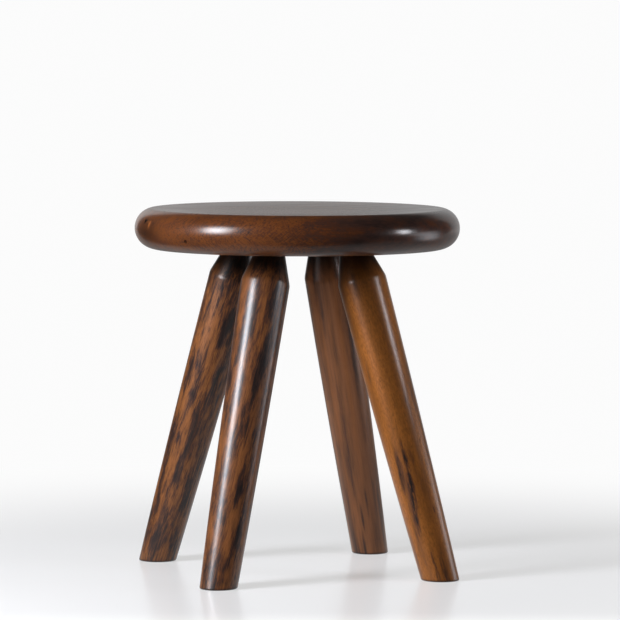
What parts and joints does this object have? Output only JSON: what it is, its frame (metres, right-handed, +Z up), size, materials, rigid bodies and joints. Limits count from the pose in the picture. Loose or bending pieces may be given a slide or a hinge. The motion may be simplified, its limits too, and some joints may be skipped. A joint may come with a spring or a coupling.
{
  "type": "wooden stool",
  "caption": "Low round stool in dark, streaked solid wood: thick dished seat with a fully rounded edge on splayed, turned, tapering legs.",
  "frame": {"origin": "on the floor under the centre of the seat", "axes": "+Z up, -Y to the front, +X to the right of someone facing the front"},
  "size_m": [0.4018, 0.4018, 0.45],
  "materials": {
    "seat_wood": "satin lacquer over red-brown to black-brown heartwood",
    "streaked_leg_wood": "satin lacquer over orange-brown wood with near-black streaks",
    "golden_leg_wood": "satin lacquer over golden-brown wood with few dark streaks",
    "brown_leg_wood": "satin lacquer over mid-brown wood with fine dark lines",
    "wedge_wood": "bare pale hardwood"
  },
  "bodies": {
    "root": {"seat": "seat_wood", "leg_front_left": "streaked_leg_wood", "leg_back_left": "streaked_leg_wood", "leg_front_right": "golden_leg_wood", "leg_back_right": "brown_leg_wood", "wedge_front_left": "wedge_wood", "wedge_back_left": "wedge_wood", "wedge_front_right": "wedge_wood", "wedge_back_right": "wedge_wood"}
  },
  "joints": []
}
